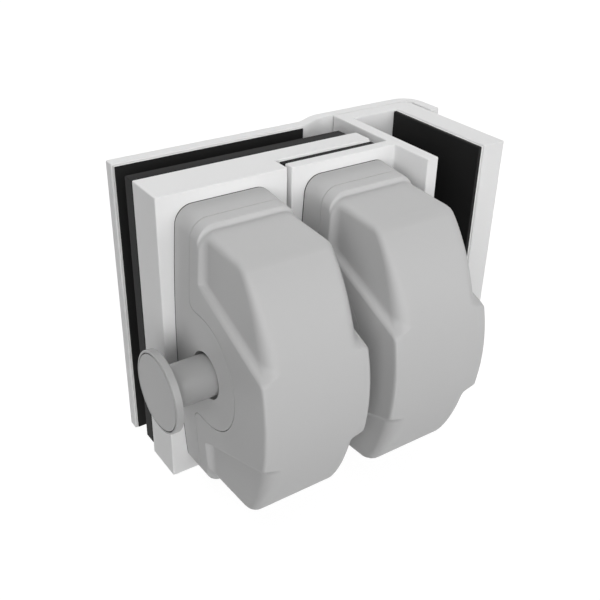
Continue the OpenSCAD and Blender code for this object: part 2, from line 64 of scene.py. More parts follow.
def roundCorners(corners, radii, closed=True):
    # every corner becomes an arc that touches both of its edges, and the normals turn evenly along the arc
    points = np.asarray(corners, float)
    radius = np.broadcast_to(np.asarray(radii, float), (len(points),)).copy()
    back, ahead = np.roll(points, 1, 0) - points, np.roll(points, -1, 0) - points
    if not closed:
        back[0], ahead[-1] = -ahead[0], -back[-1]
        radius[0] = radius[-1] = 0
    back, ahead = unitRows(back), unitRows(ahead)
    normalIn = np.stack([-back[:, 1], back[:, 0]], 1)
    normalOut = np.stack([ahead[:, 1], -ahead[:, 0]], 1)
    turn = np.arccos(np.clip((normalIn * normalOut).sum(1), -1, 1))
    cross = normalIn[:, 0] * normalOut[:, 1] - normalIn[:, 1] * normalOut[:, 0]
    reach = (np.where(cross >= 0, 1.0, -1.0) * radius)[:, None]
    centre = points + back * (radius * np.tan(turn / 2))[:, None] - normalIn * reach
    share = np.linspace(0, 1, cornerSteps)[None, :, None]
    angle = np.maximum(turn, leastTurn)[:, None, None]
    normals = normalIn[:, None] * np.sin((1 - share) * angle) + normalOut[:, None] * np.sin(share * angle)
    normals = normals / np.sin(angle)
    arc = centre[:, None] + normals * reach[:, None]
    sharp = radius == 0
    keep = np.ones((len(points), cornerSteps), bool)
    keep[sharp, 1:] = False  # a corner with no radius stays one point
    normals[sharp] = unitRows(normalIn + normalOut)[sharp][:, None]
    return arc[keep], unitRows(normals[keep])


def gridFaces(rows, columns):
    # quads between neighbouring rows of a grid whose columns close on themselves
    below = np.arange(rows - 1)[:, None] * columns
    above = below + columns
    here = np.arange(columns)[None, :]
    ahead = (here + 1) % columns
    return np.stack([below + here, below + ahead, above + ahead, above + here], -1).reshape(-1, 4)


def weldPoints(points, tris):
    # points that meet become one, and triangles that this leaves without area are dropped;
    # gives the points that stay, the triangles in their numbers, and the same triangles in the old numbers
    key = np.round(points / weldReach).astype(np.int64)
    _, first, index = np.unique(key, axis=0, return_index=True, return_inverse=True)
    welded = index.reshape(-1)[tris]
    keep = (welded[:, 0] != welded[:, 1]) & (welded[:, 1] != welded[:, 2]) & (welded[:, 2] != welded[:, 0])
    return first, welded[keep], tris[keep]


def finishMesh(name, points, faces, loopNormals, material, body, replaced):
    mesh = bpy.data.meshes.new(name)
    mesh.from_pydata((np.asarray(points) * mm).tolist(), [], faces)
    mesh.polygons.foreach_set("use_smooth", np.ones(len(mesh.polygons), bool))
    mesh.update()
    mesh.normals_split_custom_set(np.asarray(loopNormals).tolist())
    piece = bpy.data.objects.new(name, mesh)
    bpy.context.scene.collection.objects.link(piece)
    mesh.materials.append(material)
    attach(piece, body)
    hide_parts(*replaced)
    return piece


# finishes

speckle = {"driftDetail": 3, "grainDetail": 6, "driftShare": 0.6, "grainShare": 0.4}
mixFrom, mixTo, mixResult = 6, 7, 2  # where a Mix node keeps its two colours and what comes out


def newMaterial(name):
    material = bpy.data.materials.new(name)
    material.use_nodes = True
    shader = material.node_tree.nodes["Principled BSDF"]
    return material, material.node_tree.nodes, material.node_tree.links, shader


def addNoise(tree, links, place, scale, detail):
    noise = tree.new("ShaderNodeTexNoise")
    noise.inputs["Scale"].default_value = scale
    noise.inputs["Detail"].default_value = detail
    links.new(place, noise.inputs["Vector"])
    return noise.outputs["Fac"]


def addMaths(tree, links, operation, value, factor):
    maths = tree.new("ShaderNodeMath")
    maths.operation = operation
    maths.inputs[1].default_value = factor
    links.new(value, maths.inputs[0])
    return maths


def speckledFinish(name, look):
    # a moulded or coated skin: slow colour drift, fine grain in the roughness, and a shallow bump
    material, tree, links, shader = newMaterial(name)
    place = tree.new("ShaderNodeTexCoord").outputs["Object"]
    stretch = tree.new("ShaderNodeMapping")
    stretch.inputs["Scale"].default_value = look["stretch"]
    links.new(place, stretch.inputs["Vector"])
    drift = addNoise(tree, links, place, look["driftScale"], speckle["driftDetail"])
    grain = addNoise(tree, links, stretch.outputs["Vector"], look["grainScale"], speckle["grainDetail"])
    grainPart = addMaths(tree, links, "MULTIPLY", grain, speckle["grainShare"])
    blend = addMaths(tree, links, "MULTIPLY_ADD", drift, speckle["driftShare"])
    links.new(grainPart.outputs[0], blend.inputs[2])
    colour = tree.new("ShaderNodeMix")
    colour.data_type = "RGBA"
    colour.inputs[mixFrom].default_value = (*look["dark"], 1)
    colour.inputs[mixTo].default_value = (*look["light"], 1)
    links.new(blend.outputs[0], colour.inputs[0])
    shade = colour.outputs[mixResult]
    if "paintedShade" in look:
        # points so marked take a dark colour: painted shade standing in for the shadow in a narrow gap
        mark = tree.new("ShaderNodeAttribute")
        mark.attribute_name = "paintedShade"
        paintedShadeMix = tree.new("ShaderNodeMix")
        paintedShadeMix.data_type = "RGBA"
        paintedShadeMix.inputs[mixTo].default_value = (*look["paintedShade"], 1)
        links.new(mark.outputs["Fac"], paintedShadeMix.inputs[0])
        links.new(shade, paintedShadeMix.inputs[mixFrom])
        shade = paintedShadeMix.outputs[mixResult]
    links.new(shade, shader.inputs["Base Color"])
    rough = tree.new("ShaderNodeMapRange")
    rough.inputs["To Min"].default_value = look["rough"][0]
    rough.inputs["To Max"].default_value = look["rough"][1]
    links.new(grain, rough.inputs["Value"])
    links.new(rough.outputs[0], shader.inputs["Roughness"])
    bump = tree.new("ShaderNodeBump")
    bump.inputs["Strength"].default_value = look["bump"]
    bump.inputs["Distance"].default_value = look["bumpDepth"]
    links.new(grain, bump.inputs["Height"])
    links.new(bump.outputs["Normal"], shader.inputs["Normal"])
    shader.inputs["Metallic"].default_value = look["metallic"]
    shader.inputs["Specular IOR Level"].default_value = look["specular"]
    return material


whiteCoat = speckledFinish("whiteCoat", {
    "dark": (0.775, 0.775, 0.775), "light": (0.825, 0.825, 0.825),
    "rough": (0.5, 0.6), "metallic": 0, "specular": 0.25,
    "stretch": (1, 1, 1), "driftScale": 30, "grainScale": 2600, "bump": 0.04, "bumpDepth": 0.00005})
# its near-black gap colour is painted shade for the shadow line at the housing's foot
greyShell = speckledFinish("greyShell", {
    "dark": (0.5, 0.5, 0.5), "light": (0.54, 0.54, 0.54), "paintedShade": (0.02, 0.02, 0.02),
    "rough": (0.42, 0.52), "metallic": 0, "specular": 0.3,
    "stretch": (1, 1, 1), "driftScale": 25, "grainScale": 3200, "bump": 0.05, "bumpDepth": 0.00005})
greyKnob = speckledFinish("greyKnob", {
    "dark": (0.36, 0.36, 0.36), "light": (0.4, 0.4, 0.4),
    "rough": (0.3, 0.4), "metallic": 0, "specular": 0.45,
    "stretch": (1, 1, 1), "driftScale": 40, "grainScale": 3200, "bump": 0.04, "bumpDepth": 0.00004})
blackRubber = speckledFinish("blackRubber", {
    "dark": (0.01, 0.01, 0.01), "light": (0.018, 0.018, 0.018),
    "rough": (0.6, 0.75), "metallic": 0, "specular": 0.12,
    "stretch": (1, 1, 0.4), "driftScale": 40, "grainScale": 1800, "bump": 0.15, "bumpDepth": 0.0001})
# its dark grey gap colour is painted shade for the shadow in the gap before the plate
whiteTape = speckledFinish("whiteTape", {
    "dark": (0.78, 0.78, 0.77), "light": (0.86, 0.86, 0.85), "paintedShade": (0.1, 0.1, 0.1),
    "rough": (0.6, 0.75), "metallic": 0, "specular": 0.3,
    "stretch": (1, 1, 0.3), "driftScale": 40, "grainScale": 1500, "bump": 0.15, "bumpDepth": 0.00008})
naturalPlastic = speckledFinish("naturalPlastic", {
    "dark": (0.7, 0.69, 0.65), "light": (0.76, 0.75, 0.71),
    "rough": (0.35, 0.45), "metallic": 0, "specular": 0.4,
    "stretch": (1, 1, 1), "driftScale": 40, "grainScale": 2400, "bump": 0.06, "bumpDepth": 0.00005})
turnedSteel = speckledFinish("turnedSteel", {
    "dark": (0.5, 0.5, 0.52), "light": (0.62, 0.62, 0.64),
    "rough": (0.22, 0.36), "metallic": 1, "specular": 0.5,
    "stretch": (14, 1, 1), "driftScale": 60, "grainScale": 900, "bump": 0.08, "bumpDepth": 0.00003})
print("finishes made")


# upright pieces: a plan outline carried straight up, with rounded ends

def standingPiece(name, corners, radii, ends, edge, material, slotName, replaced):
    # point = outline minus its normal times the end's inset, at the height of the end's quarter circle
    outline, outward = roundCorners(corners, radii)
    quarter = np.linspace(0, math.pi / 2, endSteps)
    tilt = np.concatenate([-quarter[::-1], quarter])
    inset = edge * (1 - np.cos(tilt))
    drop = edge * (1 - np.sin(quarter))
    height = np.concatenate([(ends[0] + drop)[::-1], ends[1] - drop])
    flat = outline[None] - outward[None] * inset[:, None, None]
    upright = flat.shape[:2] + (1,)
    points = np.concatenate([flat, np.broadcast_to(height[:, None, None], upright)], -1).reshape(-1, 3)
    normals = np.concatenate([outward[None] * np.cos(tilt)[:, None, None],
                              np.broadcast_to(np.sin(tilt)[:, None, None], upright)], -1).reshape(-1, 3)
    count = len(outline)
    quads = gridFaces(len(tilt), count)
    bottom, top = np.arange(count)[::-1], (len(tilt) - 1) * count + np.arange(count)
    loops = np.concatenate([normals[quads.ravel()], normals[bottom], normals[top]])
    faces = quads.tolist() + [bottom.tolist(), top.tolist()]
    return finishMesh(name, points, faces, loops, material, doorBody, replaced)


def flatPiece(name, size, material, slotName, replaced):
    # a plain block: its upright corners and its ends have the same radius
    (left, right), (front, back) = size["x"], size["y"]
    corners = [(left, front), (right, front), (right, back), (left, back)]
    return standingPiece(name, corners, size["edge"], size["z"], size["edge"], material, slotName, replaced)


def paintShade(piece, dark):
    # dark says for each point, 0 or 1, whether the finish takes its painted shade colour there, standing in for
    # the shadow of a narrow gap
    paintedShade = piece.data.attributes.new("paintedShade", "FLOAT", "POINT")
    paintedShade.data.foreach_set("value", np.asarray(dark, np.float32))


clamp = {"x": (-21.9, 21.9), "front": -19.8, "rear": -5.0, "tongueEnd": 58.9, "tongueFront": -12.5,
         "z": (-50, 50), "edge": 0.4, "corner": 0.45}
clampLeft, clampRight = clamp["x"]
clampCorners = [(clampLeft, clamp["front"]), (clampRight, clamp["front"]), (clampRight, clamp["tongueFront"]),
                (clamp["tongueEnd"], clamp["tongueFront"]), (clamp["tongueEnd"], clamp["rear"]),
                (clampLeft, clamp["rear"])]
standingPiece("clampBlock", clampCorners, clamp["corner"], clamp["z"], clamp["edge"],
              whiteCoat, "white_metal", ["door_clamp_block"])

doorGasket = {"x": (-21.9, 55.5), "y": (-5, 0), "z": (-46.2, 49.7), "edge": 0.25}
flatPiece("doorGasket", doorGasket, blackRubber, "black_rubber", ["door_gasket"])

outerPad = {"x": (-21.4, 46.6), "y": (8, 8.55), "z": (-48.5, 49.5), "edge": 0.2}
flatPiece("outerPad", outerPad, blackRubber, "black_rubber", ["outer_gasket"])

outerTape = {"x": (-21.4, 46.6), "y": (8.55, 9.45), "z": (-48.5, 49.5), "edge": 0.1, "paintedShadeReach": 0.01}
tapePiece = flatPiece("outerTape", outerTape, whiteTape, "white_tape", ["outer_tape"])
# the tape's rear face, in the narrow gap before the plate, is painted dark grey: painted shade for the gap's
# shadow
tapeRear = outerTape["y"][1] - outerTape["paintedShadeReach"]
paintShade(tapePiece, [v.co.y * 1000 > tapeRear for v in tapePiece.data.vertices])

plate = {"left": -21.9, "inner": 9.8, "thick": 4.0, "bendStart": 48.1, "bendLength": 10.5, "rise": 3.5,
         "bendSteps": 13, "flange": 96.9, "flangeEnd": 0.5, "cornerRadius": 8, "corner": 0.45,
         "z": (-50, 50), "edge": 0.4}


def plateOutline():
    # the offset bend is half a cosine wave; the inner face runs parallel to the outer one
    share = np.linspace(0, 1, plate["bendSteps"])
    x = plate["bendStart"] + plate["bendLength"] * share
    y = plate["inner"] + plate["rise"] * (1 - np.cos(math.pi * share)) / 2
    slope = plate["rise"] * math.pi / 2 * np.sin(math.pi * share) / plate["bendLength"]
    normal = unitRows(np.stack([-slope, np.ones_like(share)], 1))
    inner = np.stack([x, y], 1)
    outer = inner + normal * plate["thick"]
    flangeBack, rear = plate["flange"] + plate["thick"], plate["inner"] + plate["rise"] + plate["thick"]
    corners = np.concatenate([
        [(plate["left"], plate["inner"])], inner,
        [(plate["flange"], plate["inner"] + plate["rise"]), (plate["flange"], plate["flangeEnd"]),
         (flangeBack, plate["flangeEnd"]), (flangeBack, rear)],
        outer[::-1], [(plate["left"], plate["inner"] + plate["thick"])]])
    small, large = plate["corner"], plate["cornerRadius"]
    radii = np.zeros(len(corners))
    radii[[0, -1]] = small
    flangeStart = 1 + plate["bendSteps"]
    radii[flangeStart:flangeStart + 4] = [large - plate["thick"], small, small, large]
    return corners, radii


standingPiece("outerPlate", *plateOutline(), plate["z"], plate["edge"],
              whiteCoat, "white_metal", ["outer_plate"])

stopTape = {"x": (23.0, 58.5), "y": (-13.5, -12.6), "z": (-49.5, 49.5), "edge": 0.2}
flatPiece("stopTape", stopTape, whiteTape, "white_tape", ["stop_tape"])

stopRubber = {"x": (23.0, 58.5), "y": (-16.2, -13.5), "z": (-49.5, 49.5), "edge": 0.2}
flatPiece("stopRubber", stopRubber, blackRubber, "black_rubber", ["stop_rubber"])

bracket = {"left": 23.0, "front": (-20.5, -16.5), "web": (62.7, 67.1), "channelFront": -36.7,
           "back": (6.9, 12.9), "wall": (86.8, 95.9), "z": (-50, 50), "edge": 0.4,
           "corner": 0.45, "fillet": 0.6, "bend": 4}


def bracketOutline():
    # a front plate, a web across to the back plate, and a channel between the web and the far wall
    left, mouth = bracket["left"], bracket["channelFront"]
    (front, frontBack), (back, rear) = bracket["front"], bracket["back"]
    (webLeft, webRight), (wallLeft, wallRight) = bracket["web"], bracket["wall"]
    corner, fillet, bend = bracket["corner"], bracket["fillet"], bracket["bend"]
    corners = [(left, front), (webLeft, front), (webLeft, mouth), (webRight, mouth),
               (webRight, back), (wallLeft, back), (wallLeft, mouth), (wallRight, mouth),
               (wallRight, rear), (webLeft, rear), (webLeft, frontBack), (left, frontBack)]
    radii = [corner, fillet, corner, corner, fillet, fillet, corner, corner, bend, corner, fillet, corner]
    return corners, radii


standingPiece("returnBracket", *bracketOutline(), bracket["z"], bracket["edge"],
              whiteCoat, "white_metal", ["return_bracket"])

returnTape = {"x": (86.3, 86.8), "y": (-36.2, 6.8), "z": (-49.5, 49.5), "edge": 0.1}
flatPiece("returnTape", returnTape, whiteTape, "white_tape", ["return_tape"])

returnPad = {"x": (85.0, 86.3), "y": (-36.2, 6.8), "z": (-49.5, 49.5), "edge": 0.25}
flatPiece("returnPad", returnPad, blackRubber, "black_rubber", ["return_gasket"])

clampPlate = {"x": (67.5, 70.0), "y": (-29.6, 5.4), "z": (-45, 45), "edge": 0.4}
flatPiece("clampPlate", clampPlate, turnedSteel, "steel", ["clamp_plate"])

clampPad = {"x": (70.0, 73.0), "y": (-29.6, 5.4), "z": (-45, 45), "edge": 0.3}
flatPiece("clampPad", clampPad, blackRubber, "black_rubber", ["clamp_rubber"])
print("plates, bracket and gaskets made")


# turned pieces: a profile of (x, radius) turned about the bolt's line, with a radius for each of its corners

def turnedPiece(name, profile, rounding, material, replaced, body):
    # point = (x, radius cos a, radius sin a); the profile ends on the axis, or closes on itself
    closed = profile[0][1] != 0
    line, lean = roundCorners(profile, rounding, closed)
    angle = np.linspace(0, 2 * math.pi, ringSteps, endpoint=False)
    ring = np.stack([np.zeros_like(angle), np.cos(angle), np.sin(angle)], 1)
    along = np.array([1.0, 0, 0])
    points = line[:, None, :1] * along + line[:, None, 1:] * ring[None]
    normals = -(lean[:, None, :1] * along + lean[:, None, 1:] * ring[None])
    points = points.reshape(-1, 3) + [0, boltLineY, 0]
    normals = normals.reshape(-1, 3)
    quads = gridFaces(len(line), ringSteps)
    if closed:
        last = (len(line) - 1) * ringSteps
        here = np.arange(ringSteps)
        ahead = (here + 1) % ringSteps
        quads = np.concatenate([quads, np.stack([last + here, last + ahead, ahead, here], 1)])
    tris = np.concatenate([quads[:, [0, 1, 2]], quads[:, [0, 2, 3]]])
    first, welded, tris = weldPoints(points, tris)
    loops = normals[tris.ravel()]
    return finishMesh(name, points[first], welded.tolist(), loops, material, body, replaced)


knob = {"face": -33.5, "rim": 2.4, "radius": 12.5, "stem": 6.5, "end": 10.0, "recess": 1.0,
        "recessRadius": 11.8, "spigot": 3.05, "spigotDepth": 10.5,
        "rounding": [0, 0.05, 0.12, 0.4, 0.4, 3.5, 0.3, 0.2, 0.05, 0]}
knobFloor, knobRear = knob["face"] + knob["recess"], knob["face"] + knob["rim"]
spigotFloor = knob["end"] - knob["spigotDepth"]
knobProfile = [(knobFloor, 0), (knobFloor, knob["recessRadius"]), (knob["face"], knob["recessRadius"]),
               (knob["face"], knob["radius"]), (knobRear, knob["radius"]), (knobRear, knob["stem"]),
               (knob["end"], knob["stem"]), (knob["end"], knob["spigot"]), (spigotFloor, knob["spigot"]),
               (spigotFloor, 0)]
turnedPiece("pullKnob", knobProfile, knob["rounding"], greyKnob, ["pull_knob"], pullBody)

knobFace = {"radius": 11.5, "rounding": [0, 0.15, 0.05, 0]}
faceProfile = [(knob["face"], 0), (knob["face"], knobFace["radius"]), (knobFloor, knobFace["radius"]),
               (knobFloor, 0)]
turnedPiece("knobFace", faceProfile, knobFace["rounding"], greyKnob, ["knob_face"], pullBody)

bolt = {"start": 0.0, "spigot": 3.0, "collar": (10.0, 12.7), "collarRadius": 9.0, "radius": 5.0, "tip": 35.9,
        "lead": 1.5, "rounding": [0, 0.2, 0.1, 0.3, 0.3, 0.1, 0.4, 0.4, 0]}
collarFront, collarBack = bolt["collar"]
boltProfile = [(bolt["start"], 0), (bolt["start"], bolt["spigot"]), (collarFront, bolt["spigot"]),
               (collarFront, bolt["collarRadius"]), (collarBack, bolt["collarRadius"]),
               (collarBack, bolt["radius"]), (bolt["tip"] - bolt["lead"], bolt["radius"]),
               (bolt["tip"], bolt["radius"] - bolt["lead"]), (bolt["tip"], 0)]
turnedPiece("latchBolt", boltProfile, bolt["rounding"], turnedSteel, ["latch_bolt"], pullBody)

seat = {"x": (-14.0, -12.8), "radius": (6.55, 11.0), "rounding": 0.15}
(seatLeft, seatRight), (seatBore, seatRim) = seat["x"], seat["radius"]
seatProfile = [(seatLeft, seatBore), (seatLeft, seatRim), (seatRight, seatRim), (seatRight, seatBore)]
turnedPiece("springSeat", seatProfile, seat["rounding"], turnedSteel, ["spring_seat"], doorBody)

bush = {"flange": (12.8, 14.0), "flangeRadius": 11.0, "end": 17.5, "radius": 7.45, "bore": 5.05,
        "rounding": [0.15, 0.15, 0.15, 0.1, 0.3, 0.3]}
bushFront, bushStep = bush["flange"]
bushProfile = [(bushFront, bush["bore"]), (bushFront, bush["flangeRadius"]), (bushStep, bush["flangeRadius"]),
               (bushStep, bush["radius"]), (bush["end"], bush["radius"]), (bush["end"], bush["bore"])]
turnedPiece("guideBush", bushProfile, bush["rounding"],
            naturalPlastic, ["guide_bush"], doorBody)

cup = {"floor": 36.9, "bore": 5.5, "mouth": 26.5, "radius": 7.45, "flange": (30.0, 31.2), "flangeRadius": 10.0,
       "end": 38.4, "rounding": [0, 0.3, 0.3, 0.3, 0.1, 0.15, 0.15, 0.1, 0.3, 0]}
flangeFront, flangeRear = cup["flange"]
cupProfile = [(cup["floor"], 0), (cup["floor"], cup["bore"]), (cup["mouth"], cup["bore"]),
              (cup["mouth"], cup["radius"]), (flangeFront, cup["radius"]), (flangeFront, cup["flangeRadius"]),
              (flangeRear, cup["flangeRadius"]), (flangeRear, cup["radius"]), (cup["end"], cup["radius"]),
              (cup["end"], 0)]
turnedPiece("strikeCup", cupProfile, cup["rounding"], turnedSteel, ["strike_cup"], doorBody)
print("knob, bolt and bushes made")


# spring: a round wire swept along a coil whose end turns lie flat

spring = {"x": (-12.78, 9.98), "wire": 1.1, "mean": 7.55, "turns": 6, "flatTurn": 0.5, "travel": 13.5,
          "stepsPerTurn": 48, "sides": 14}


def springPiece():
    # centre line = (pitch ramp, mean radius cos a, mean radius sin a);
    # a circle of the wire is set square to it at every step
    radius, flat = spring["wire"] / 2, spring["flatTurn"]
    steps, sides = spring["turns"] * spring["stepsPerTurn"] + 1, spring["sides"]
    start, end = spring["x"]
    turn = np.linspace(0, spring["turns"], steps)
    rise = np.clip((turn - flat) / (spring["turns"] - 2 * flat), 0, 1)
    ends = spring["wire"] * (np.minimum(turn, flat) + np.maximum(turn - spring["turns"] + flat, 0))
    x = start + radius + ends + rise * (end - start - 2 * radius - spring["wire"])
    angle = 2 * math.pi * turn
    line = np.stack([x, spring["mean"] * np.cos(angle), spring["mean"] * np.sin(angle)], 1)
    ahead = unitRows(np.gradient(line, axis=0))
    out = unitRows(np.stack([np.zeros_like(angle), np.cos(angle), np.sin(angle)], 1))
    across = unitRows(np.cross(ahead, out))
    around = np.linspace(0, 2 * math.pi, sides, endpoint=False)[None, :, None]
    normals = out[:, None] * np.cos(around) + across[:, None] * np.sin(around)
    points = (line[:, None] + normals * radius).reshape(-1, 3) + [0, boltLineY, 0]
    normals = normals.reshape(-1, 3)
    quads = gridFaces(steps, sides)[:, ::-1]
    first, last = np.arange(sides), (steps - 1) * sides + np.arange(sides)[::-1]
    loops = np.concatenate([normals[quads.ravel()], np.repeat(-ahead[:1], sides, 0),
                            np.repeat(ahead[-1:], sides, 0)])
    faces = quads.tolist() + [first.tolist(), last.tolist()]
    return finishMesh("boltSpring", points, faces, loops, turnedSteel, doorBody, ["bolt_spring"])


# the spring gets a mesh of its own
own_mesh(springPiece())


# housings: one skin found by measuring outwards from a middle line, where o is the depth away from the glass

shell = {
    "halfWidth": 18.0, "draft": 0.3, "bow": 0.00094, "halfHeight": 46.2, "bandDraft": 1.2, "bandDrop": 0.8,
    "corner": 5.3, "band": 13.4, "joint": 9.0, "gap": 0.2, "wall": 2.0, "floor": 2.5,
    "ledge": {"drop": 2.3, "angle": 1.0, "outer": 0.8, "inner": 2.8},
    "endLedge": {"drop": 1.6, "angle": 1.3, "outer": 0.5, "inner": 0.8}, "endStart": -0.9,
    "insetWidth": 15.4, "insetBow": 0.00055, "insetHeight": 43.4, "endSlope": 0.075, "footSlope": 0.108,
    "frontRadius": 64.02, "frontCentre": -13.3, "frontDrop": 1.9, "crease": 1.6, "footCrease": 3.6,
    "edge": 1.9, "edgeGain": {"by": 2.4, "height": 41.6, "within": 25},
    "ledgeGain": {"by": 0.6, "depth": 36, "withinDepth": 22, "height": 30, "withinHeight": 12},
    "flare": {"drop": 2.3, "angle": 1.3, "outer": 1.3, "inner": 1.6},
    "flareHeight": 27.3, "flareDrop": 0.3, "flareSlope": 0.39, "flareEdge": 0.9, "flareFade": 3,
    "flareGain": {"by": 0.1, "depth": 25, "within": 20},
    "lobeRadius": 18.4, "lobeDepth": 16.1, "lobeFillet": 3.0, "footSlot": 0.4, "slotDepth": 0.05,
    "holeRadius": 7.5, "bossRadius": 12.0, "bossPlane": 14.0, "spine": 32.0, "columns": (26.5, 30.0)}
latchHousing = {"place": (0.0, -19.8), "axisDepth": 18.1, "openSides": (1, -1)}
strikeHousing = {"place": (44.0, -20.5), "axisDepth": 17.4, "openSides": (-1,)}

# how finely the skin is measured: rays on each part of the way round, then rows by depth, all spacings in mm
skin = {
    "columns": (46, 21, 12), "endColumns": 70,
    "slotRows": (0.02, 0.1), "baseRows": (3, 5, 7), "lobeRows": (9.6, 36.5, 0.62),
    "bandRows": (10, 11, 12), "ledgeRows": (12.4, 16.9, 30), "sideRows": 40, "rounds": 5,
    "behindFront": 6, "sideReach": 17,
    # sideways and forwards parts of the last rays, which climb the side and turn over the edge to the middle
    "tipped": [(15.5, 0.6), (15.5, 1.3), (15.5, 2.1), (15.4, 3.0), (15.2, 3.8), (14.8, 4.5), (14.3, 5.1),
               (13.7, 5.6), (13.0, 5.9), (12.1, 6), (11.0, 6), (9.6, 6), (8, 6), (6.2, 6), (4.2, 6),
               (2.1, 6), (0, 6)],
    "farOutside": 60.0, "halvings": 40, "probe": 0.02,
    "snapProbe": 0.01, "snapRounds": 3, "leastSlope": 0.2,
    "sideFrom": 9, "bossFrom": 15, "floorBelow": 2.9, "slotTop": 0.05, "hair": 0.01,
    "onLine": 2e-3, "clear": 1e-4, "level": 1e-6, "noHole": 1e9, "spineEnd": 1e-9}


def smoothStep(share):
    share = np.clip(share, 0, 1)
    return share * share * (3 - 2 * share)


def bentStep(along, step):
    # rises from 0 to 1: an outer arc, a straight slope at the given angle, then an inner arc back to level
    outer, inner, drop = step["outer"], step["inner"], step["drop"]
    rise, ahead = math.sin(step["angle"]), math.cos(step["angle"])
    straight = (drop - (outer + inner) * (1 - ahead)) / rise
    first = outer * rise
    second = first + straight * ahead
    last = second + inner * rise
    along = np.clip(along, 0, last)
    outerArc = outer - np.sqrt(outer ** 2 - np.minimum(along, first) ** 2)
    innerArc = drop - inner + np.sqrt(inner ** 2 - np.minimum(last - along, inner * rise) ** 2)
    slope = outer * (1 - ahead) + (along - first) * rise / ahead
    return np.where(along < first, outerArc, np.where(along < second, slope, innerArc)) / drop


def roundMeet(one, other, radius):
    # where two skins meet in an outer edge, the edge is a quarter circle of this radius
    p, q = one + radius, other + radius
    return np.minimum(np.maximum(p, q), 0) + np.hypot(np.maximum(p, 0), np.maximum(q, 0)) - radius


def roundJoin(one, other, radius):
    # where two bodies join in an inner corner, the corner is filled by a quarter circle of this radius
    p, q = radius - one, radius - other
    return np.maximum(np.minimum(one, other), radius) - np.hypot(np.maximum(p, 0), np.maximum(q, 0))


def housingDistance(points):
    # below zero inside; one body whose width and height step in at the ledge,
    # and whose width steps out again at the flare
    x, o, z = np.abs(points[..., 0]), points[..., 1], np.abs(points[..., 2])
    height = points[..., 2]
    lower = height < 0
    beyond = o - shell["band"]
    within = np.minimum(o, shell["band"]) / shell["band"]
    pastBand = bentStep(beyond, shell["ledge"])
    tilt = np.abs(height + shell["flareDrop"]) - shell["flareHeight"] + shell["flareSlope"] * beyond
    lean = tilt / math.hypot(1, shell["flareSlope"])
    pastFlare = bentStep(lean, shell["flare"])
    gain = shell["flareGain"]
    wide = shell["halfWidth"] - shell["draft"] * within - shell["bow"] * z ** 2
    wide = wide + gain["by"] * smoothStep((o - gain["depth"]) / gain["within"])
    narrow = shell["insetWidth"] - shell["insetBow"] * z ** 2
    tall = shell["halfHeight"] + np.where(lower, shell["bandDrop"], -shell["bandDraft"] * within)
    low = shell["insetHeight"] - np.where(lower, shell["footSlope"], shell["endSlope"]) * beyond
    side = x - (wide + (narrow - wide) * pastBand * pastFlare)
    end = z - (tall + (low - tall) * bentStep(beyond - shell["endStart"], shell["endLedge"]))
    front = np.hypot(o - shell["frontCentre"], height + shell["frontDrop"]) - shell["frontRadius"]
    # the long edges' radius grows towards the middle and at the ledge's ends, and shrinks on the flare
    gain = shell["edgeGain"]
    radius = shell["edge"] + gain["by"] * smoothStep((gain["height"] - z) / gain["within"])
    gain = shell["ledgeGain"]
    nearLedge = gain["by"] * smoothStep((gain["depth"] - o) / gain["withinDepth"])
    radius = radius + nearLedge * smoothStep((z - gain["height"]) / gain["withinHeight"])
    radius = shell["flareEdge"] + (radius - shell["flareEdge"]) * smoothStep(lean / shell["flareFade"])
    radius = shell["corner"] + (radius - shell["corner"]) * pastBand
    crease = np.where(lower, shell["footCrease"], shell["crease"])
    return roundMeet(roundMeet(end, front, crease), side, radius)


def jointDistance(z, o):
    # below zero on the base's side of the joint line: behind its plane, or in the lobe on a side wall
    deep = shell["lobeDepth"]
    lobe = np.where(o > deep, np.hypot(z, o - deep), np.abs(z)) - shell["lobeRadius"]
    return roundJoin(o - shell["joint"], lobe, shell["lobeFillet"])


def snapped(z, o, measure, usable):
    # of the two ends of every grid edge that crosses the line, the nearer one is moved on to the line
    gap = measure(z, o)
    move = np.zeros(gap.shape, bool)
    for low, high in ((np.s_[:-1, :], np.s_[1:, :]), (np.s_[:, :-1], np.s_[:, 1:])):
        cross = gap[low] * gap[high] < 0
        nearLow = np.abs(gap[low]) <= np.abs(gap[high])
        move[low] |= cross & nearLow
        move[high] |= cross & ~nearLow
    move &= usable
    probe = skin["snapProbe"]
    for _ in range(skin["snapRounds"]):
        slopeZ = (measure(z + probe, o) - measure(z - probe, o)) / (2 * probe)
        slopeO = (measure(z, o + probe) - measure(z, o - probe)) / (2 * probe)
        size = np.maximum(slopeZ ** 2 + slopeO ** 2, skin["leastSlope"])
        gap = measure(z, o)
        z, o = z - np.where(move, gap * slopeZ / size, 0), o - np.where(move, gap * slopeO / size, 0)
    return z, o


def halfRun(end):
    # columns from the middle height to one end of the middle line, closest together across the flare's step
    (first, second), (low, step, high) = shell["columns"], skin["columns"]
    return np.concatenate([np.linspace(0, first, low), np.linspace(first, second, step)[1:],
                           np.linspace(second, end, high)[1:]])


def perimeter():
    # a run up one side, round the top, down the other side and round the bottom:
    # where each ray starts, which way it points, whether it points straight sideways, and the two straight runs
    spine, drop, ends = shell["spine"], shell["flareDrop"], skin["endColumns"]
    up = np.concatenate([-halfRun(spine - drop)[:0:-1], halfRun(spine + drop)]) - drop
    count = len(up)
    level = np.zeros(count)
    fan = np.linspace(0, math.pi, ends + 2)[1:-1]
    z = np.concatenate([up, np.full(ends, spine), up[::-1], np.full(ends, -spine)])
    dx = np.concatenate([level + 1, np.cos(fan), level - 1, -np.cos(fan)])
    dz = np.concatenate([level, np.sin(fan), level, -np.sin(fan)])
    runs = [slice(0, count), slice(count + ends, 2 * count + ends)]
    straight = np.zeros(len(z), bool)
    for run in runs:
        straight[run] = True
    return z, dx, dz, straight, runs


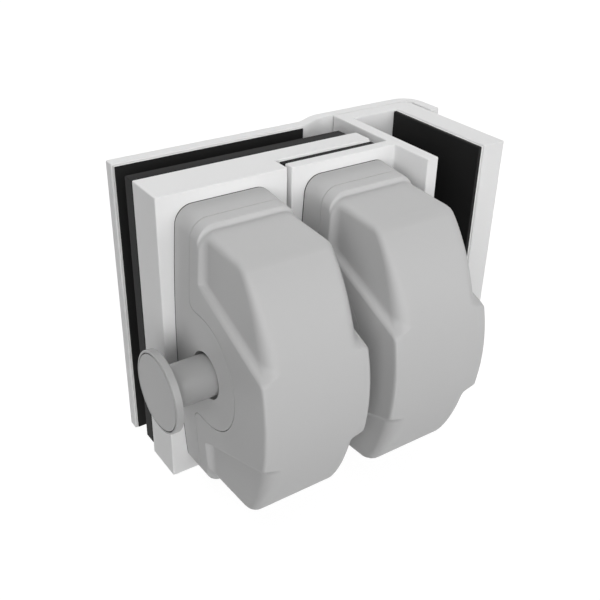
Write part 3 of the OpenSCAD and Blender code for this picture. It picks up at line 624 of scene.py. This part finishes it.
def alongFlare(z, o):
    # columns near the flare's step keep their distance from it, so that the step runs cleanly to the front
    (first, second), drop = shell["columns"], shell["flareDrop"]
    side = np.where(z + drop < 0, -1.0, 1.0)
    end = shell["spine"] + side * drop
    fall = shell["flareSlope"] * np.maximum(o - shell["band"], 0)
    away = np.abs(z + drop)
    low, middle = away * (first - fall) / first, away - fall
    high = second - fall + (away - second) * (end - second + fall) / (end - second)
    moved = side * np.where(away < first, low, np.where(away < second, middle, high)) - drop
    return np.where(away < end - skin["spineEnd"], moved, z)


def skinPoints(z, o, dx, dz, dOut):
    # each ray is halved many times between its start and a point far outside, until it stands on the skin
    start = np.stack([np.zeros_like(z), o, z], -1)
    ray = unitRows(np.stack(np.broadcast_arrays(dx, dOut, dz), -1))
    near, far = np.zeros(z.shape), np.full(z.shape, skin["farOutside"])
    for _ in range(skin["halvings"]):
        middle = (near + far) / 2
        inside = housingDistance(start + ray * middle[..., None]) < 0
        near, far = np.where(inside, middle, near), np.where(inside, far, middle)
    return start + ray * near[..., None]


def skinNormals(points):
    # the way in which the distance grows fastest
    probes = skin["probe"] * np.eye(3)
    return unitRows(np.stack([housingDistance(points + p) - housingDistance(points - p) for p in probes], -1))


def baseRays(z0):
    # rows at the foot, up to the joint's plane, then evenly over the lobe; every ray runs straight out
    slot = shell["footSlot"]
    foot = [0.0, slot] + [slot + above for above in skin["slotRows"]]
    plane = shell["joint"] - shell["gap"] / 2
    depths = np.concatenate([foot, skin["baseRows"], [plane], np.arange(*skin["lobeRows"])])
    o = np.broadcast_to(depths[:, None], (len(depths), len(z0))).copy()
    z = np.broadcast_to(z0, o.shape).copy()
    return z, o, np.ones_like(o), np.zeros_like(o)


def coverRays(z0):
    # rows over the band and the ledge, then evenly to just behind the front, then the tipped rays from there
    path = np.array(skin["tipped"], float)
    plane = shell["joint"] + shell["gap"] / 2
    depths = np.concatenate([[plane], skin["bandRows"], np.linspace(*skin["ledgeRows"])])
    share = np.linspace(0, 1, skin["sideRows"])[1:, None]
    side = slice(len(depths), len(depths) + len(share))
    rows = len(depths) + len(share) + len(path)
    behind = skin["behindFront"]
    z = np.broadcast_to(z0, (rows, len(z0))).copy()
    reach = np.zeros((rows, 1))
    reach[-len(path):, 0] = np.minimum(path[:, 1] * skin["sideReach"] / np.maximum(path[:, 0], 1), behind)
    for _ in range(skin["rounds"]):
        # the front's depth depends on z and z on the depth, so the two are found in turns
        front = np.sqrt(shell["frontRadius"] ** 2 - (z + shell["frontDrop"]) ** 2)
        top = front + shell["frontCentre"] - behind
        o = top.copy()
        o[:len(depths)] = depths[:, None]
        o[side] = depths[-1] + share * (top[side] - depths[-1])
        z = alongFlare(z0, o + reach)
    sideways, forwards = np.ones_like(o), np.zeros_like(o)
    sideways[-len(path):] = path[:, :1]
    forwards[-len(path):] = path[:, 1:]
    return z, o, sideways, forwards


def cutSkin(isBase, axisDepth, openSides):
    # the outer skin of one part: its points, their normals, and the triangles on its own side of every cut line
    level = (-1 if isBase else 1) * shell["gap"] / 2

    def jointLine(z, o):
        return jointDistance(z, o) - level

    def holeLine(z, o):
        return np.hypot(z, o - axisDepth) - shell["holeRadius"]

    z0, dx0, dz0, straight, runs = perimeter()
    z, o, sideways, forwards = baseRays(z0) if isBase else coverRays(z0)
    usable = np.broadcast_to(straight, o.shape) & (forwards == 0)
    for side, run in zip((1, -1), runs):
        z[:, run], o[:, run] = snapped(z[:, run], o[:, run], jointLine, usable[:, run])
        if side in openSides:
            z[:, run], o[:, run] = snapped(z[:, run], o[:, run], holeLine, usable[:, run])
    points = skinPoints(z, o, dx0 * sideways, dz0 * sideways, forwards)
    normals = skinNormals(points)
    if isBase:
        # the slot at the foot
        lateral = unitRows(normals * [1, 0, 1])
        slotted = (o < shell["footSlot"] + skin["slotTop"])[..., None]
        points = points - lateral * np.where(slotted, shell["slotDepth"], 0)
        normals = np.where(slotted, lateral, normals)
    # on the end walls the joint is its plane alone
    fromPlane = o - shell["joint"] - level
    joint = np.where(np.abs(points[..., 0]) > skin["sideFrom"], jointLine(z, o), fromPlane).ravel()
    hole = np.full(o.shape, skin["noHole"])
    for side in openSides:
        hole = np.where(np.sign(points[..., 0]) == side, holeLine(z, o), hole)
    hole = hole.ravel()
    # a quad is split along the cut line that it touches
    quads = gridFaces(*o.shape)
    onBorder = (np.abs(joint[quads]) < skin["onLine"]) | (np.abs(hole[quads]) < skin["onLine"])
    turned = (onBorder[:, 1] & onBorder[:, 3]) & ~(onBorder[:, 0] & onBorder[:, 2])
    plain, other = quads[~turned], quads[turned]
    tris = np.concatenate([plain[:, [0, 1, 2]], plain[:, [0, 2, 3]], other[:, [1, 2, 3]], other[:, [1, 3, 0]]])
    past = joint[tris].mean(1)
    if isBase:
        belowJoint = o.ravel()[tris].max(1) <= shell["joint"] + level + skin["level"]
        keep = (past < -skin["clear"]) & (hole[tris].mean(1) > skin["clear"]) | belowJoint
    else:
        keep = past > skin["clear"]
    points, normals = points.reshape(-1, 3), normals.reshape(-1, 3)
    first, welded, _ = weldPoints(points, tris[keep])
    return points[first], normals[first], welded


def innerSkin(points, normals, isBase, axisDepth, openSides):
    # one wall thickness inwards, but flat on the bosses round the holes and on the base's floor
    inner = points - normals * shell["wall"]
    if isBase:
        near = np.hypot(points[:, 2], points[:, 1] - axisDepth) < shell["bossRadius"] + skin["hair"]
        for side in openSides:
            boss = near & (np.sign(points[:, 0]) == side) & (np.abs(points[:, 0]) > skin["bossFrom"])
            inner[boss] = points[boss]
            inner[boss, 0] = side * shell["bossPlane"]
        inner[points[:, 1] < skin["floorBelow"], 1] = shell["floor"]
    return inner


def closedWall(points, normals, welded, inner, isBase):
    # outer skin, inner skin turned round, a rim between their borders, and the base's flat foot and floor
    count = len(points)
    both = np.concatenate([points, inner])
    turned = welded[:, ::-1]
    edges = np.concatenate([welded[:, [0, 1]], welded[:, [1, 2]], welded[:, [2, 0]]])
    code, back = edges[:, 0] * count + edges[:, 1], edges[:, 1] * count + edges[:, 0]
    border = edges[~np.isin(code, back)]
    if isBase:
        atFoot = points[border[:, 0], 1] < skin["hair"]
        foot, border = border[atFoot], border[~atFoot]
    rim = np.stack([border[:, 1], border[:, 0], border[:, 0] + count, border[:, 1] + count], 1)
    corner = both[rim]
    rimNormal = -unitRows(np.cross(corner[:, 1] - corner[:, 0], corner[:, 3] - corner[:, 0]))
    summed = np.zeros_like(both)
    for column in rim.T:
        np.add.at(summed, column, rimNormal)
    faces = welded.tolist() + (turned + count).tolist() + rim.tolist()
    loops = [normals[welded.ravel()], -normals[turned.ravel()], unitRows(summed)[rim.ravel()]]
    if isBase:
        following = dict(foot.tolist())
        loop = [int(foot[0, 0])]
        while following[loop[-1]] != loop[0]:
            loop.append(following[loop[-1]])
        faces += [loop[::-1], [v + count for v in loop]]
        loops += [np.tile([0.0, -1.0, 0.0], (len(loop), 1)), np.tile([0.0, 1.0, 0.0], (len(loop), 1))]
    return both, faces, np.concatenate(loops)


def housingPiece(name, part, housing, replaced):
    # part is "base" or "cover"; only a base has holes
    isBase = part == "base"
    place, axisDepth = housing["place"], housing["axisDepth"]
    openSides = housing["openSides"] if isBase else ()
    points, normals, welded = cutSkin(isBase, axisDepth, openSides)
    inner = innerSkin(points, normals, isBase, axisDepth, openSides)
    both, faces, loops = closedWall(points, normals, welded, inner, isBase)
    used = np.unique(np.concatenate([welded.ravel(), welded.ravel() + len(points)]))
    renumber = np.full(len(both), -1)
    renumber[used] = np.arange(len(used))
    both = both[used]
    # depth runs towards -y, which mirrors the mesh and so turns every face outwards
    placed = np.stack([both[:, 0] + place[0], place[1] - both[:, 1], both[:, 2]], 1)
    faces = [renumber[face].tolist() for face in faces]
    piece = finishMesh(name, placed, faces, loops * [1, -1, 1], greyShell, doorBody, replaced)
    if isBase:
        # the foot's slot faces are painted near black: painted shade for the shadow line where the housing
        # meets the block
        paintShade(piece, both[:, 1] < shell["footSlot"] + skin["hair"])


housingPiece("latchBase", "base", latchHousing, ["latch_base"])
housingPiece("latchCover", "cover", latchHousing, ["latch_cover"])
housingPiece("strikeBase", "base", strikeHousing, ["strike_base"])
housingPiece("strikeCover", "cover", strikeHousing, ["strike_cover"])
print("housings made")


# hidden fasteners keep their CAD shape and take a finish

fasteners = {"clamp_bolts": turnedSteel, "plate_inserts": turnedSteel, "latch_screws": turnedSteel,
             "strike_screws": turnedSteel, "set_screws": turnedSteel, "glass_sleeves": naturalPlastic}
for nodeName, finish in fasteners.items():
    nodes[nodeName].data.materials.clear()
    nodes[nodeName].data.materials.append(finish)
print("fasteners dressed")


# camera, floor and light

view = {"place": (-0.11222, -0.22021, 0.14519), "right": (0.82707, -0.56170, 0.02126),
        "down": (-0.26846, -0.42796, -0.86300), "forward": (0.49385, 0.70806, -0.50475),
        "lens": 51.39, "sensor": 36, "nearest": 0.005}
camera = bpy.data.objects.new("camera", bpy.data.cameras.new("camera"))
camera.data.sensor_width = view["sensor"]
camera.data.sensor_fit = "HORIZONTAL"
camera.data.lens = view["lens"]
camera.data.clip_start = view["nearest"]
turnMatrix = Matrix([[view["right"][i], -view["down"][i], -view["forward"][i]] for i in range(3)])
camera.matrix_world = Matrix.Translation(view["place"]) @ turnMatrix.to_4x4()
bpy.context.scene.collection.objects.link(camera)
bpy.context.scene.camera = camera


def seenDirectly(tree, links):
    # 1 where the eye, a shine or a clear piece looks at the backdrop,
    # and 0 where the backdrop would light the object
    path = tree.new("ShaderNodeLightPath")
    total = path.outputs["Is Camera Ray"]
    for ray in ("Is Glossy Ray", "Is Transmission Ray"):
        more = tree.new("ShaderNodeMath")
        more.operation = "MAXIMUM"
        links.new(total, more.inputs[0])
        links.new(path.outputs[ray], more.inputs[1])
        total = more.outputs[0]
    return total


stageLook = {"half": 3.0, "height": -0.0502, "floor": 0.12, "glow": 0.95, "rough": 0.9, "specular": 0.1}
half, level, shade = stageLook["half"], stageLook["height"], stageLook["floor"]
floorMesh = bpy.data.meshes.new("floor")
floorMesh.from_pydata([(-half, -half, level), (half, -half, level), (half, half, level), (-half, half, level)],
                      [], [(0, 1, 2, 3)])
floor = bpy.data.objects.new("floor", floorMesh)
bpy.context.scene.collection.objects.link(floor)
floorFinish, tree, links, shader = newMaterial("floorFinish")
shader.inputs["Base Color"].default_value = (shade, shade, shade, 1)
shader.inputs["Roughness"].default_value = stageLook["rough"]
shader.inputs["Specular IOR Level"].default_value = stageLook["specular"]
glow = tree.new("ShaderNodeEmission")
strength = addMaths(tree, links, "MULTIPLY", seenDirectly(tree, links), stageLook["glow"])
both = tree.new("ShaderNodeAddShader")
links.new(strength.outputs[0], glow.inputs["Strength"])
links.new(shader.outputs[0], both.inputs[0])
links.new(glow.outputs[0], both.inputs[1])
links.new(both.outputs[0], tree["Material Output"].inputs["Surface"])
floor.data.materials.append(floorFinish)

skyLook = {"ambient": 0.12, "backdrop": 1.0}
world = bpy.data.worlds.new("studio")
bpy.context.scene.world = world
world.use_nodes = True
sky, skyLinks = world.node_tree.nodes, world.node_tree.links
ambient = sky["Background"]
backdrop = sky.new("ShaderNodeBackground")
for background, brightness in ((ambient, skyLook["ambient"]), (backdrop, skyLook["backdrop"])):
    background.inputs["Color"].default_value = (1, 1, 1, 1)
    background.inputs["Strength"].default_value = brightness
skyMix = sky.new("ShaderNodeMixShader")
skyLinks.new(seenDirectly(sky, skyLinks), skyMix.inputs[0])
skyLinks.new(ambient.outputs[0], skyMix.inputs[1])
skyLinks.new(backdrop.outputs[0], skyMix.inputs[2])
skyLinks.new(skyMix.outputs[0], sky["World Output"].inputs["Surface"])

# towards is the way to the lamp, as seen from the object; a lamp that doesn't shine leaves no glint
lamps = {
    "keyLight": {"towards": (0.32, -0.94, 0.12), "strength": 1.92, "spread": 72, "shines": True},
    "sideLight": {"towards": (-0.6, -0.79, 0.16), "strength": 2.25, "spread": 56, "shines": True},
    "topLight": {"towards": (0.0, 0.5, 0.866), "strength": 0.85, "spread": 56, "shines": False},
    "rearLight": {"towards": (0.08, 0.9, 0.44), "strength": 1.65, "spread": 56, "shines": False}}


def softSun(name, towards, strength, spread, shines):
    light = bpy.data.lights.new(name, "SUN")
    light.energy = strength
    light.angle = math.radians(spread)
    lamp = bpy.data.objects.new(name, light)
    z = np.array(towards, float)
    z /= np.linalg.norm(z)
    x = np.cross([0, 0, 1.0], z)
    x /= np.linalg.norm(x)
    y = np.cross(z, x)
    lamp.matrix_world = Matrix([[x[i], y[i], z[i]] for i in range(3)]).to_4x4()
    lamp.visible_glossy = shines
    bpy.context.scene.collection.objects.link(lamp)


for lampName, lampValues in lamps.items():
    softSun(lampName, **lampValues)
bpy.context.scene.view_settings.view_transform = "Standard"
print("camera, floor and light set")
